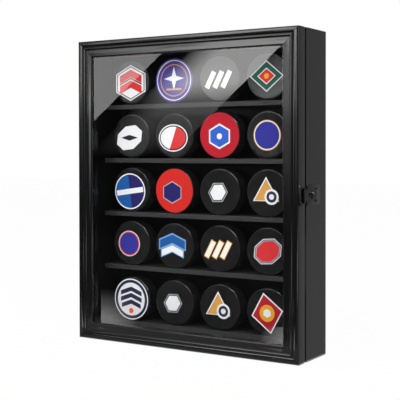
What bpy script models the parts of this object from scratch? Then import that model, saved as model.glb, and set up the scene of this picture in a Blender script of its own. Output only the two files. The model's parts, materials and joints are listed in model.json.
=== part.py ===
"""Display case for twenty hockey pucks, with a hinged glazed door and a side hasp.

Metres, +Z up. The door faces -Y. The origin is on the underside, at mid width and mid depth.
"""

import math

import bmesh
import bpy
from mathutils import Matrix, Vector

# Pucks: the standard size, which sets the scale of the case
PUCK_DIAMETER = 0.0762
PUCK_THICKNESS = 0.0254
PUCK_EDGE = 0.0011
ROWS = 5
COLUMNS = 4

# Free space round the pucks
PUCK_SPACING = 0.0124
SIDE_SPACE = 0.0185
HEADROOM = 0.0086
LOWEST_HEADROOM = 0.0124
TOP_HEADROOM = 0.0108

# Case boards, shelves and back panel
BOARD_THICKNESS = 0.021
CASE_DEPTH = 0.0723
FRONT_ROUND = 0.0012
REAR_ROUND = 0.0008
SHELF_THICKNESS = 0.0078
SHELF_SETBACK = 0.0218
SHELF_EASE = 0.0004
DADO_DEPTH = 0.004
BACK_THICKNESS = 0.004
REBATE_WIDTH = 0.006

# Door frame: widths of the moulding's members, from the outer edge to the glass
CORNER_RADIUS = 0.0026
FILLET_WIDTH = 0.0017
OUTER_FALL_WIDTH = 0.006
VALLEY_WIDTH = 0.0003
INNER_RISE_WIDTH = 0.0016
INNER_FALL_WIDTH = 0.0036
BAND_WIDTH = 0.011
SIGHT_ROUND = 0.001

# Door frame: depths of the same members behind the foremost line
VALLEY_DEPTH = 0.002
INNER_CREST_DEPTH = 0.0006
BAND_DEPTH = 0.0029

# Door: thickness, gap to the case, glazing and its stops
DOOR_THICKNESS = 0.0231
DOOR_GAP = 0.0036
DOOR_REAR_ROUND = 0.001
GLAZING_RECESS = 0.006
GLAZING_THICKNESS = 0.0025
GLAZING_EDGE_SPACE = 0.001
RABBET_WIDTH = 0.008
STOP_DEPTH = 0.009

# Door hinges, on the left side
HINGE_HEIGHT = 0.040
HINGE_FROM_END = 0.095
HINGE_LEAF_WIDTH = 0.014
HINGE_LEAF_THICKNESS = 0.0011
HINGE_KNUCKLE_RADIUS = 0.0022
HINGE_PIN_RADIUS = 0.001
HINGE_PIN_HEAD_RADIUS = 0.0017
HINGE_PIN_HEAD_HEIGHT = 0.0008

# Hasp latch, on the right side at mid height
LATCH_AXIS_FROM_FRONT = 0.013
LATCH_PLATE_HEIGHT = 0.033
LATCH_PLATE_WIDTH = 0.012
LATCH_PLATE_THICKNESS = 0.002
LATCH_CORNER = 0.0025
LATCH_KNUCKLE_RADIUS = 0.003
LATCH_PIN_RADIUS = 0.0012
LATCH_PIN_HEAD_RADIUS = 0.0022
LATCH_PIN_HEAD_HEIGHT = 0.0008
HASP_LENGTH = 0.043
HASP_HEIGHT = 0.017
HASP_THICKNESS = 0.0012
HASP_NOSE_ROUND = 0.006
HASP_SLOT_FROM_AXIS = 0.026
HASP_SLOT_WIDTH = 0.0037
HASP_SLOT_HEIGHT = 0.0115
KEEPER_FROM_CASE_FRONT = 0.0008
KEEPER_LENGTH = 0.0455
KEEPER_HEIGHT = 0.033
KEEPER_THICKNESS = 0.0012
STAPLE_WIRE_RADIUS = 0.0012
STAPLE_LOOP_RADIUS = 0.0033
STAPLE_LEG_HEIGHT = 0.0028

# Latch screws
SCREW_HEAD_RADIUS = 0.0024
SCREW_HEAD_HEIGHT = 0.0010
SCREW_SHANK_RADIUS = 0.0011
SCREW_LENGTH = 0.009
PLATE_SCREW_INSET = 0.0042
PLATE_SCREW_FROM_END = 0.005
KEEPER_SCREW_INSET = 0.0125
KEEPER_SCREW_FROM_END = 0.0065

# Clearances
GAP = 0.0003
RUNNING_GAP = 0.0004
OVERRUN = 0.003

# Facets
PUCK_SIDES = 32
ROUND_SIDES = 20
WIRE_SIDES = 10
ARC_STEPS = 4

# Sizes worked out from those above
SIGHT_INSET = (
    CORNER_RADIUS + FILLET_WIDTH + OUTER_FALL_WIDTH + VALLEY_WIDTH + INNER_RISE_WIDTH
    + INNER_FALL_WIDTH + BAND_WIDTH + SIGHT_ROUND
)
COLUMN_PITCH = PUCK_DIAMETER + PUCK_SPACING
INNER_HALF_WIDTH = (COLUMNS * PUCK_DIAMETER + (COLUMNS - 1) * PUCK_SPACING) / 2 + SIDE_SPACE
HALF_WIDTH = INNER_HALF_WIDTH + BOARD_THICKNESS
DEPTH = DOOR_THICKNESS + DOOR_GAP + CASE_DEPTH
DOOR_FRONT = -DEPTH / 2
DOOR_REAR = DOOR_FRONT + DOOR_THICKNESS
CASE_FRONT = DOOR_REAR + DOOR_GAP
CASE_REAR = DEPTH / 2
GAP_MIDDLE = DOOR_REAR + DOOR_GAP / 2
SHELF_FRONT = CASE_FRONT + SHELF_SETBACK
BACK_FRONT = CASE_REAR - BACK_THICKNESS


def row_heights():
    """Give the top of each shelf, from the highest row down to the lowest."""
    top = BOARD_THICKNESS + SHELF_THICKNESS
    heights = [top]
    for row in range(1, ROWS):
        space = LOWEST_HEADROOM if row == 1 else HEADROOM
        top += PUCK_DIAMETER + space + SHELF_THICKNESS
        heights.append(top)
    return list(reversed(heights))


SHELF_TOPS = row_heights()
HEIGHT = SHELF_TOPS[0] + PUCK_DIAMETER + TOP_HEADROOM + BOARD_THICKNESS
COLUMN_PLACES = [(column - (COLUMNS - 1) / 2) * COLUMN_PITCH for column in range(COLUMNS)]

# Joint axes: both run along Z, the door's beside the gap and the hasp's beside the door
DOOR_AXIS = Vector((-HALF_WIDTH - GAP - HINGE_KNUCKLE_RADIUS, GAP_MIDDLE, 0))
HASP_AXIS = Vector((
    HALF_WIDTH + GAP + LATCH_KNUCKLE_RADIUS, DOOR_FRONT + LATCH_AXIS_FROM_FRONT, HEIGHT / 2,
))


# Materials

def material(name, colour, roughness, metallic=0.0, transmission=0.0):
    """Make a plain Principled material."""
    made = bpy.data.materials.new(name)
    made.use_nodes = True
    shader = made.node_tree.nodes["Principled BSDF"]
    shader.inputs["Base Color"].default_value = (*colour, 1.0)
    shader.inputs["Roughness"].default_value = roughness
    shader.inputs["Metallic"].default_value = metallic
    shader.inputs["Transmission Weight"].default_value = transmission
    made.diffuse_color = (*colour, 1.0)
    return made


# Object helpers

def clear_scene():
    for item in list(bpy.data.objects):
        bpy.data.objects.remove(item, do_unlink=True)


def pivot(name, place, parent=None):
    """Add an empty on a joint's axis."""
    empty = bpy.data.objects.new(name, None)
    bpy.context.collection.objects.link(empty)
    put(empty, place, parent)
    empty["place"] = tuple(place)
    return empty


def put(item, place, parent=None):
    """Place an object by its world position, under a pivot or on its own."""
    offset = Vector(parent["place"]) if parent else Vector((0, 0, 0))
    item.parent = parent
    item.location = Vector(place) - offset


def solid(name, bm, finish, place=(0, 0, 0), turn=0.0, parent=None):
    """Make one named object from a bmesh, turned about Y and placed in the world."""
    bmesh.ops.recalc_face_normals(bm, faces=bm.faces)
    mesh = bpy.data.meshes.new(name)
    bm.to_mesh(mesh)
    bm.free()
    item = bpy.data.objects.new(name, mesh)
    bpy.context.collection.objects.link(item)
    item.data.materials.append(finish)
    item.rotation_euler = (0, turn, 0)
    put(item, place, parent)
    return item


def combine(item, operation, shapes):
    """Join shapes to an object, or cut them from it, with hidden wire cutters."""
    for number, (bm, place) in enumerate(shapes):
        name = f"{item.name}_{operation.lower()}_{number}"
        bmesh.ops.recalc_face_normals(bm, faces=bm.faces)
        mesh = bpy.data.meshes.new(name)
        bm.to_mesh(mesh)
        bm.free()
        tool = bpy.data.objects.new(name, mesh)
        bpy.context.collection.objects.link(tool)
        tool.location = place
        tool.display_type = "WIRE"
        tool.hide_render = True
        boolean = item.modifiers.new(name, "BOOLEAN")
        boolean.operation = operation
        boolean.solver = "EXACT"
        boolean.object = tool


def smooth(item, angle_degrees=30):
    item.data.shade_smooth()
    item.data.set_sharp_from_angle(angle=math.radians(angle_degrees))


# Mesh helpers

def box(x_range, y_range, z_range):
    bm = bmesh.new()
    bmesh.ops.create_cube(bm, size=1)
    size = Vector([high - low for low, high in (x_range, y_range, z_range)])
    middle = Vector([(low + high) / 2 for low, high in (x_range, y_range, z_range)])
    bmesh.ops.scale(bm, vec=size, verts=bm.verts)
    bmesh.ops.translate(bm, vec=middle, verts=bm.verts)
    return bm


def lay_along(bm, axis):
    """Turn a shape made along Z to lie along another axis."""
    turns = {"Z": (0, "X"), "X": (math.pi / 2, "Y"), "Y": (-math.pi / 2, "X")}
    angle, about = turns[axis]
    bmesh.ops.rotate(bm, matrix=Matrix.Rotation(angle, 3, about), verts=bm.verts)


def cylinder(radius, low, high, axis="Z", sides=ROUND_SIDES):
    """Make a rod from low to high along one axis through the origin."""
    bm = bmesh.new()
    bmesh.ops.create_cone(
        bm, cap_ends=True, segments=sides, radius1=radius, radius2=radius, depth=high - low
    )
    bmesh.ops.translate(bm, vec=(0, 0, (low + high) / 2), verts=bm.verts)
    lay_along(bm, axis)
    return bm


def turned(outline, axis, sides):
    """Spin an outline of (radius, distance) points about an axis; both ends lie on it."""
    bm = bmesh.new()
    rings = []
    for radius, distance in outline:
        if radius == 0:
            rings.append([bm.verts.new((0, 0, distance))])
            continue
        ring = []
        for step in range(sides):
            angle = 2 * math.pi * step / sides
            ring.append(bm.verts.new((radius * math.cos(angle), radius * math.sin(angle), distance)))
        rings.append(ring)
    for lower, upper in zip(rings, rings[1:]):
        for step in range(sides):
            after = (step + 1) % sides
            if len(lower) == 1:
                bm.faces.new((lower[0], upper[step], upper[after]))
            elif len(upper) == 1:
                bm.faces.new((lower[step], lower[after], upper[0]))
            else:
                bm.faces.new((lower[step], lower[after], upper[after], upper[step]))
    lay_along(bm, axis)
    return bm


def arc(centre, radius, start, end, steps=ARC_STEPS):
    """Give points on an arc, angles in degrees, both ends included."""
    points = []
    for step in range(steps + 1):
        angle = math.radians(start + (end - start) * step / steps)
        points.append((centre[0] + radius * math.cos(angle), centre[1] + radius * math.sin(angle)))
    return points


def mitred_bar(section, half_length):
    """Extrude a section along X and mitre both ends.

    The section's points are (distance inwards from the outer edge, place along Y).
    """
    bm = bmesh.new()
    ends = []
    for side in (-1, 1):
        ends.append([
            bm.verts.new((side * (half_length - inwards - GAP / 2), along, inwards))
            for inwards, along in section
        ])
    left, right = ends
    bm.faces.new(left)
    bm.faces.new(list(reversed(right)))
    count = len(section)
    for number in range(count):
        after = (number + 1) % count
        bm.faces.new((left[number], right[number], right[after], left[after]))
    return bm


def prism(outline, low, high, plane="YZ"):
    """Extrude a flat outline from low to high along the third axis."""
    bm = bmesh.new()
    layers = []
    for level in (low, high):
        if plane == "YZ":
            layers.append([bm.verts.new((level, first, second)) for first, second in outline])
        else:
            layers.append([bm.verts.new((first, second, level)) for first, second in outline])
    bottom, top = layers
    bm.faces.new(bottom)
    bm.faces.new(list(reversed(top)))
    count = len(outline)
    for number in range(count):
        after = (number + 1) % count
        bm.faces.new((bottom[number], top[number], top[after], bottom[after]))
    return bm


def rounded_rectangle(first_range, second_range, rounds):
    """Give the outline of a rectangle with the four corner radii in rounds.

    The corners run from low-low through high-low and high-high to low-high.
    """
    (left, right), (low, high) = first_range, second_range
    corners = (
        (left, low, 1, 1, 180), (right, low, -1, 1, 270),
        (right, high, -1, -1, 0), (left, high, 1, -1, 90),
    )
    points = []
    for (across, up, inward_x, inward_y, start), radius in zip(corners, rounds):
        if radius == 0:
            points.append((across, up))
            continue
        centre = (across + inward_x * radius, up + inward_y * radius)
        points.extend(arc(centre, radius, start, start + 90))
    return points


def four_sides(prefixes, section, finish, parent=None):
    """Make the four mitred members of a frame, bottom, right, top and left."""
    bottom, right, top, left = prefixes
    quarter = math.pi / 2
    places = (
        (bottom, HALF_WIDTH, (0, 0, 0), 0.0),
        (right, HEIGHT / 2, (HALF_WIDTH, 0, HEIGHT / 2), -quarter),
        (top, HALF_WIDTH, (0, 0, HEIGHT), 2 * quarter),
        (left, HEIGHT / 2, (-HALF_WIDTH, 0, HEIGHT / 2), quarter),
    )
    made = {}
    for name, half_length, place, turn in places:
        made[name] = solid(name, mitred_bar(section, half_length), finish, place, turn, parent)
    return made


# Case

def board_section():
    """Give the section of a case board: rounded outer corners and a rebate at the rear."""
    front_centre = (FRONT_ROUND, CASE_FRONT + FRONT_ROUND)
    rear_centre = (REAR_ROUND, CASE_REAR - REAR_ROUND)
    rebate_floor = BACK_FRONT - GAP
    section = arc(rear_centre, REAR_ROUND, 90, 180)
    section += arc(front_centre, FRONT_ROUND, 180, 270)
    section += [
        (BOARD_THICKNESS, CASE_FRONT),
        (BOARD_THICKNESS, rebate_floor),
        (BOARD_THICKNESS - REBATE_WIDTH, rebate_floor),
        (BOARD_THICKNESS - REBATE_WIDTH, CASE_REAR),
    ]
    return section


def dado_cutters(side):
    """Give the slots that hold the shelf ends in one side board."""
    floor = side * (INNER_HALF_WIDTH + DADO_DEPTH)
    open_end = side * (INNER_HALF_WIDTH - OVERRUN)
    x_range = sorted((floor, open_end))
    slots = []
    for top in SHELF_TOPS[:-1]:
        z_range = (top - SHELF_THICKNESS - GAP, top + GAP)
        slots.append((box(x_range, (SHELF_FRONT - GAP, BACK_FRONT + OVERRUN), z_range), (0, 0, 0)))
    return slots


def build_case(wood):
    names = ("bottom_panel", "side_panel_right", "top_panel", "side_panel_left")
    boards = four_sides(names, board_section(), wood)
    for side, name in ((1, "side_panel_right"), (-1, "side_panel_left")):
        combine(boards[name], "DIFFERENCE", dado_cutters(side))
    reach = REBATE_WIDTH - GAP
    solid(
        "back_panel",
        box(
            (-INNER_HALF_WIDTH - reach, INNER_HALF_WIDTH + reach),
            (BACK_FRONT, CASE_REAR),
            (BOARD_THICKNESS - reach, HEIGHT - BOARD_THICKNESS + reach),
        ),
        wood,
    )
    return boards


def build_shelves(wood):
    """Make the shelves; the lowest one lies on the bottom board between the sides."""
    for row, top in enumerate(SHELF_TOPS, start=1):
        lowest = row == ROWS
        half_length = INNER_HALF_WIDTH - GAP if lowest else INNER_HALF_WIDTH + DADO_DEPTH - GAP
        underside = top - SHELF_THICKNESS + (GAP if lowest else 0)
        section = rounded_rectangle(
            (SHELF_FRONT, BACK_FRONT - GAP), (underside, top), (SHELF_EASE, 0, 0, SHELF_EASE)
        )
        solid(f"shelf_{row}", prism(section, -half_length, half_length), wood)


def build_pucks(rubber):
    """Stand a puck on its edge at every place, its face level with the shelf's front."""
    radius = PUCK_DIAMETER / 2
    half = PUCK_THICKNESS / 2
    outline = (
        (0, -half), (radius - PUCK_EDGE, -half), (radius, -half + PUCK_EDGE),
        (radius, half - PUCK_EDGE), (radius - PUCK_EDGE, half), (0, half),
    )
    for row, top in enumerate(SHELF_TOPS, start=1):
        for column, across in enumerate(COLUMN_PLACES, start=1):
            place = (across, SHELF_FRONT + GAP + half, top + GAP + radius)
            puck = solid(f"puck_r{row}_c{column}", turned(outline, "Y", PUCK_SIDES), rubber, place)
            smooth(puck, 40)


# Door

def moulding_section():
    """Give the door frame's section, from the rear outer corner round to the rabbet."""
    section = arc((DOOR_REAR_ROUND, DOOR_REAR - DOOR_REAR_ROUND), DOOR_REAR_ROUND, 90, 180)
    inwards, depth = 0, CORNER_RADIUS
    section.append((inwards, DOOR_FRONT + depth))
    members = (
        (settling, CORNER_RADIUS, 0),
        (straight, FILLET_WIDTH, 0),
        (steepening, OUTER_FALL_WIDTH, VALLEY_DEPTH),
        (straight, VALLEY_WIDTH, VALLEY_DEPTH),
        (settling, INNER_RISE_WIDTH, INNER_CREST_DEPTH),
        (steepening, INNER_FALL_WIDTH, BAND_DEPTH),
        (straight, BAND_WIDTH, BAND_DEPTH),
        (steepening, SIGHT_ROUND, BAND_DEPTH + SIGHT_ROUND),
        (straight, 0, GLAZING_RECESS),
    )
    for shape, width, next_depth in members:
        for across, along in shape():
            point_depth = depth + (next_depth - depth) * along
            section.append((inwards + width * across, DOOR_FRONT + point_depth))
        inwards += width
        depth = next_depth
    section.append((inwards - RABBET_WIDTH, DOOR_FRONT + GLAZING_RECESS))
    section.append((inwards - RABBET_WIDTH, DOOR_REAR))
    return section


def settling():
    """Give a quarter ellipse that starts square to the front and ends along it, in shares of its size."""
    angles = (math.pi / 2 * step / ARC_STEPS for step in range(1, ARC_STEPS + 1))
    return [(1 - math.cos(angle), math.sin(angle)) for angle in angles]


def steepening():
    """Give a quarter ellipse that starts along the front and ends square to it, in shares of its size."""
    angles = (math.pi / 2 * step / ARC_STEPS for step in range(1, ARC_STEPS + 1))
    return [(math.sin(angle), 1 - math.cos(angle)) for angle in angles]


def straight():
    """Give a straight member's end, in shares of its size."""
    return [(1, 1)]


def stop_section():
    """Give the section of the strips that hold the glazing in its rabbet."""
    outer = SIGHT_INSET - RABBET_WIDTH + GAP
    front = DOOR_FRONT + GLAZING_RECESS + GAP + GLAZING_THICKNESS + GAP
    rear = front + STOP_DEPTH
    return [(outer, front), (SIGHT_INSET, front), (SIGHT_INSET, rear), (outer, rear)]


def build_door(wood, clear, door):
    names = ("door_rail_bottom", "door_stile_right", "door_rail_top", "door_stile_left")
    frame = four_sides(names, moulding_section(), wood, door)
    reach = RABBET_WIDTH - GLAZING_EDGE_SPACE - SIGHT_INSET
    front = DOOR_FRONT + GLAZING_RECESS + GAP
    size_x = HALF_WIDTH + reach
    solid(
        "glazing_panel",
        box(
            (-size_x, size_x), (front, front + GLAZING_THICKNESS), (-reach, HEIGHT + reach)
        ),
        clear, parent=door,
    )
    names = ("glazing_stop_bottom", "glazing_stop_right", "glazing_stop_top", "glazing_stop_left")
    four_sides(names, stop_section(), wood, door)
    return frame


# Hinges and latch

def leaf(width, height, thickness, offset, radius, rounds, direction, knuckles, notches):
    """Give a plate beside a Z axis, and the knuckles and notches that shape it.

    The plate runs from the axis to width along Y in the given direction. Its faces lie between
    offset and offset + thickness from the axis along X.
    """
    far = direction * width
    y_range = sorted((0, far))
    ordered = rounds if direction > 0 else (rounds[1], rounds[0], rounds[3], rounds[2])
    outline = rounded_rectangle(y_range, (-height / 2, height / 2), ordered)
    plate = prism(outline, offset, offset + thickness)
    barrels = [cylinder(radius, low, high) for low, high in knuckles]
    clear = radius + RUNNING_GAP
    spaces = []
    for low, high in notches:
        spaces.append(box((-clear, clear), (-clear, clear), (low, high)))
    return plate, barrels, spaces


def knuckle_ranges(height):
    """Split a hinge's height in three: the middle knuckle and the two outer ones."""
    third = height / 3
    half_space = GAP / 2
    outer = ((-height / 2, -third / 2 - half_space), (third / 2 + half_space, height / 2))
    inner = ((-third / 2 + half_space, third / 2 - half_space),)
    return outer, inner


def notch_ranges(ranges, height):
    """Give the heights that a leaf leaves free for the other leaf's knuckles and the pin."""
    notches = []
    for low, high in ranges:
        below = OVERRUN if low <= -height / 2 else GAP
        above = OVERRUN if high >= height / 2 else GAP
        notches.append((low - below, high + above))
    return notches


def hinge_leaf(name, direction, own, others, metal, place, parent=None):
    """Make one leaf of a door hinge with its knuckles, bored for the pin."""
    offset = HINGE_KNUCKLE_RADIUS - HINGE_LEAF_THICKNESS
    plate, barrels, spaces = leaf(
        HINGE_LEAF_WIDTH, HINGE_HEIGHT, HINGE_LEAF_THICKNESS, offset, HINGE_KNUCKLE_RADIUS,
        (0, HINGE_LEAF_THICKNESS, HINGE_LEAF_THICKNESS, 0), direction, own,
        notch_ranges(others, HINGE_HEIGHT),
    )
    item = solid(name, plate, metal, place, parent=parent)
    combine(item, "DIFFERENCE", [(space, place) for space in spaces])
    combine(item, "UNION", [(barrel, place) for barrel in barrels])
    bore = cylinder(HINGE_PIN_RADIUS + GAP, -HINGE_HEIGHT, HINGE_HEIGHT)
    combine(item, "DIFFERENCE", [(bore, place)])
    return item


def pin(name, radius, head_radius, head_height, height, metal, place, parent=None):
    """Make a pin with a rounded head at each end, just clear of the knuckles."""
    half = height / 2 + GAP
    outline = (
        (0, -half - head_height), (head_radius * 3 / 4, -half - head_height),
        (head_radius, -half - head_height / 2), (head_radius, -half), (radius, -half),
        (radius, half), (head_radius, half), (head_radius, half + head_height / 2),
        (head_radius * 3 / 4, half + head_height), (0, half + head_height),
    )
    item = solid(name, turned(outline, "Z", ROUND_SIDES), metal, place, parent=parent)
    smooth(item, 40)
    return item


def build_hinges(metal, door):
    outer, inner = knuckle_ranges(HINGE_HEIGHT)
    for name, height in (("lower", HINGE_FROM_END), ("upper", HEIGHT - HINGE_FROM_END)):
        place = Vector((DOOR_AXIS.x, DOOR_AXIS.y, height))
        hinge_leaf(f"hinge_{name}_case_leaf", 1, outer, inner, metal, place)
        hinge_leaf(f"hinge_{name}_door_leaf", -1, inner, outer, metal, place, door)
        pin(
            f"hinge_{name}_pin", HINGE_PIN_RADIUS, HINGE_PIN_HEAD_RADIUS, HINGE_PIN_HEAD_HEIGHT,
            HINGE_HEIGHT, metal, place,
        )


def screw(name, metal, place, parent=None):
    """Make a screw along X, its head's underside just off the plate."""
    under = GAP
    outline = (
        (0, under + SCREW_HEAD_HEIGHT), (SCREW_HEAD_RADIUS / 2, under + SCREW_HEAD_HEIGHT * 7 / 8),
        (SCREW_HEAD_RADIUS, under + SCREW_HEAD_HEIGHT / 4), (SCREW_HEAD_RADIUS, under),
        (SCREW_SHANK_RADIUS, under), (SCREW_SHANK_RADIUS, SCREW_SHANK_RADIUS - SCREW_LENGTH),
        (0, -SCREW_LENGTH),
    )
    outline = tuple(reversed(outline))
    item = solid(name, turned(outline, "X", ROUND_SIDES), metal, place, parent=parent)
    smooth(item, 40)
    return item


def screw_hole(place):
    """Give a blind hole for a screw's shank, open towards +X."""
    reach = SCREW_LENGTH + GAP
    return cylinder(SCREW_SHANK_RADIUS + GAP, -reach, OVERRUN, "X"), place


def staple(base_height):
    """Make the half-ring loop of the keeper, its legs reaching down into the plate."""
    bm = bmesh.new()
    ring = bmesh.ops.create_circle(bm, cap_ends=False, segments=WIRE_SIDES, radius=STAPLE_WIRE_RADIUS)
    upright = Matrix.Rotation(math.pi / 2, 3, "Y")
    bmesh.ops.rotate(bm, cent=(0, 0, 0), matrix=upright, verts=ring["verts"])
    bmesh.ops.translate(bm, vec=(0, 0, STAPLE_LOOP_RADIUS), verts=ring["verts"])
    start = list({edge for vert in ring["verts"] for edge in vert.link_edges})
    down = bmesh.ops.extrude_edge_only(bm, edges=start)
    legs = [part for part in down["geom"] if isinstance(part, bmesh.types.BMVert)]
    bmesh.ops.translate(bm, vec=(-base_height, 0, 0), verts=legs)
    bmesh.ops.spin(
        bm, geom=start, cent=(0, 0, 0), axis=(0, 1, 0), angle=math.pi, steps=ARC_STEPS * 2,
        use_duplicate=False,
    )
    far = [edge for edge in bm.edges if edge.is_boundary and max(v.co.z for v in edge.verts) < 0]
    down = bmesh.ops.extrude_edge_only(bm, edges=far)
    legs = [part for part in down["geom"] if isinstance(part, bmesh.types.BMVert)]
    bmesh.ops.translate(bm, vec=(-base_height, 0, 0), verts=legs)
    bmesh.ops.remove_doubles(bm, verts=bm.verts, dist=GAP / 100)
    bmesh.ops.holes_fill(bm, edges=[edge for edge in bm.edges if edge.is_boundary], sides=WIRE_SIDES)
    return bm


def build_latch(metal, boards, frame, door, hasp_pivot):
    knuckle_height = LATCH_PLATE_HEIGHT * 2 / 3
    outer, inner = knuckle_ranges(knuckle_height)
    plate_inner = GAP - (HASP_AXIS.x - HALF_WIDTH)
    ends = ((-LATCH_PLATE_HEIGHT / 2, -knuckle_height / 2), (knuckle_height / 2, LATCH_PLATE_HEIGHT / 2))
    # Plate on the door's side, with the two outer knuckles
    plate, barrels, spaces = leaf(
        LATCH_PLATE_WIDTH, LATCH_PLATE_HEIGHT, LATCH_PLATE_THICKNESS, plate_inner,
        LATCH_KNUCKLE_RADIUS, (0, LATCH_CORNER, LATCH_CORNER, 0), -1, outer,
        notch_ranges(inner + ends, LATCH_PLATE_HEIGHT),
    )
    latch_plate = solid("latch_plate", plate, metal, HASP_AXIS, parent=door)
    combine(latch_plate, "DIFFERENCE", [(space, HASP_AXIS) for space in spaces])
    combine(latch_plate, "UNION", [(barrel, HASP_AXIS) for barrel in barrels])
    # Hasp, lying over the keeper and hooked on its staple
    hasp_inner = plate_inner + LATCH_PLATE_THICKNESS + GAP
    plate, barrels, spaces = leaf(
        HASP_LENGTH, HASP_HEIGHT, HASP_THICKNESS, hasp_inner, LATCH_KNUCKLE_RADIUS,
        (0, HASP_NOSE_ROUND, HASP_NOSE_ROUND, 0), 1, inner, notch_ranges(outer, LATCH_PLATE_HEIGHT),
    )
    hasp = solid("latch_hasp", plate, metal, HASP_AXIS, parent=hasp_pivot)
    combine(hasp, "DIFFERENCE", [(space, HASP_AXIS) for space in spaces])
    combine(hasp, "UNION", [(barrel, HASP_AXIS) for barrel in barrels])
    half_slot = HASP_SLOT_WIDTH / 2
    slot = rounded_rectangle(
        (HASP_SLOT_FROM_AXIS - half_slot, HASP_SLOT_FROM_AXIS + half_slot),
        (-HASP_SLOT_HEIGHT / 2, HASP_SLOT_HEIGHT / 2), (half_slot * 3 / 4,) * 4,
    )
    slot = prism(slot, hasp_inner - OVERRUN, hasp_inner + HASP_THICKNESS + OVERRUN)
    combine(hasp, "DIFFERENCE", [(slot, HASP_AXIS)])
    bore = LATCH_PIN_RADIUS + GAP
    for item in (latch_plate, hasp):
        hole = cylinder(bore, -LATCH_PLATE_HEIGHT, LATCH_PLATE_HEIGHT)
        combine(item, "DIFFERENCE", [(hole, HASP_AXIS)])
    pin(
        "latch_pin", LATCH_PIN_RADIUS, LATCH_PIN_HEAD_RADIUS, LATCH_PIN_HEAD_HEIGHT,
        knuckle_height, metal, HASP_AXIS, door,
    )
    # Keeper plate on the case's side, with its staple
    face = HALF_WIDTH + GAP
    start = CASE_FRONT + KEEPER_FROM_CASE_FRONT
    outline = rounded_rectangle(
        (start, start + KEEPER_LENGTH), (-KEEPER_HEIGHT / 2, KEEPER_HEIGHT / 2), (LATCH_CORNER,) * 4
    )
    keeper = solid("latch_keeper", prism(outline, 0, KEEPER_THICKNESS), metal, (face, 0, HEIGHT / 2))
    staple_base = KEEPER_THICKNESS + STAPLE_LEG_HEIGHT
    staple_place = Vector((face + staple_base, HASP_AXIS.y + HASP_SLOT_FROM_AXIS, HEIGHT / 2))
    combine(keeper, "UNION", [(staple(staple_base - KEEPER_THICKNESS / 2), staple_place)])
    # Screws, and the holes that they pass through
    fastened = (
        ("latch_plate_screw", latch_plate, frame["door_stile_right"], door, LATCH_PLATE_THICKNESS,
         HASP_AXIS.y - LATCH_PLATE_WIDTH + PLATE_SCREW_INSET,
         LATCH_PLATE_HEIGHT / 2 - PLATE_SCREW_FROM_END),
        ("latch_keeper_screw", keeper, boards["side_panel_right"], None, KEEPER_THICKNESS,
         start + KEEPER_LENGTH - KEEPER_SCREW_INSET, KEEPER_HEIGHT / 2 - KEEPER_SCREW_FROM_END),
    )
    for prefix, held, holder, parent, thickness, along, rise in fastened:
        for end, side in (("lower", -1), ("upper", 1)):
            place = Vector((HALF_WIDTH + GAP + thickness, along, HEIGHT / 2 + side * rise))
            screw(f"{prefix}_{end}", metal, place, parent)
            combine(held, "DIFFERENCE", [screw_hole(place)])
            combine(holder, "DIFFERENCE", [screw_hole(place)])


def main():
    clear_scene()
    wood = material("black_painted_wood", (0.012, 0.012, 0.013), 0.32)
    rubber = material("black_rubber", (0.015, 0.015, 0.016), 0.5)
    clear = material("clear_glazing", (0.95, 0.97, 0.98), 0.03, transmission=1.0)
    metal = material("black_metal", (0.02, 0.02, 0.021), 0.3, metallic=1.0)
    door = pivot("door_pivot", DOOR_AXIS)
    hasp_pivot = pivot("hasp_pivot", HASP_AXIS, door)
    boards = build_case(wood)
    build_shelves(wood)
    build_pucks(rubber)
    frame = build_door(wood, clear, door)
    build_hinges(metal, door)
    build_latch(metal, boards, frame, door, hasp_pivot)


main()
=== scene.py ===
"""Puck display case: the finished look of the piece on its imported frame."""

import json
import math

import bpy
from bpy.props import FloatProperty, FloatVectorProperty, IntProperty, PointerProperty
from mathutils import Matrix, Vector


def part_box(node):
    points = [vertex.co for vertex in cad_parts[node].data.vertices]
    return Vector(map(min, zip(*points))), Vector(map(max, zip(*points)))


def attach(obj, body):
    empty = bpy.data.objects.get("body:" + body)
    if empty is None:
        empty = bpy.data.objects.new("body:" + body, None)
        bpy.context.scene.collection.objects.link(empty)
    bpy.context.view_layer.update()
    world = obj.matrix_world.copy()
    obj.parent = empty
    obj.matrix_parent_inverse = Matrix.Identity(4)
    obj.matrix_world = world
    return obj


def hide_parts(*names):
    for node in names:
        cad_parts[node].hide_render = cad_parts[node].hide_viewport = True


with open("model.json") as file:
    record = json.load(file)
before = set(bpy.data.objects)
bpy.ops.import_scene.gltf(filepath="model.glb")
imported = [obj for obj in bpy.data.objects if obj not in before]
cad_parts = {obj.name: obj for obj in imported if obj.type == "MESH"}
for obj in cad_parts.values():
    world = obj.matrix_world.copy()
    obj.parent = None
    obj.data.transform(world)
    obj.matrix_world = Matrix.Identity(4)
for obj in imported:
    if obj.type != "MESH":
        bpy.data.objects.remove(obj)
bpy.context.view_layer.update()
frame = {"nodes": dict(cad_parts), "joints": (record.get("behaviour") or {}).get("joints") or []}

bl_info = {
    "name": "Puck Display Case",
    "version": (1, 0, 0),
    "blender": (4, 5, 0),
    "location": "View3D > Sidebar > Puck Case",
    "description": "Door moulding, pucks, latch and finishes of a puck display case",
    "category": "Add Mesh",
}

# The photograph's frame and where it was taken from
IMAGE_SIZE = 400
FOCAL_PIXELS = 967.6
OPTICAL_CENTRE = (192.85, 165.41)
CAMERA_PLACE = Vector((0.8520, -1.3571, 0.3267))
CAMERA_YAW = math.radians(32.35)
CAMERA_PITCH = math.radians(0.99)
CAMERA_ROLL = math.radians(-0.09)
SENSOR_WIDTH = 36.0

# How near a surface a point counts as lying on it
SURFACE_SLACK = 0.0002

# Two places nearer than this are the same
SAME = 0.000001

# How far one part of a piece goes into another
OVERLAP = 0.0001

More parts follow.
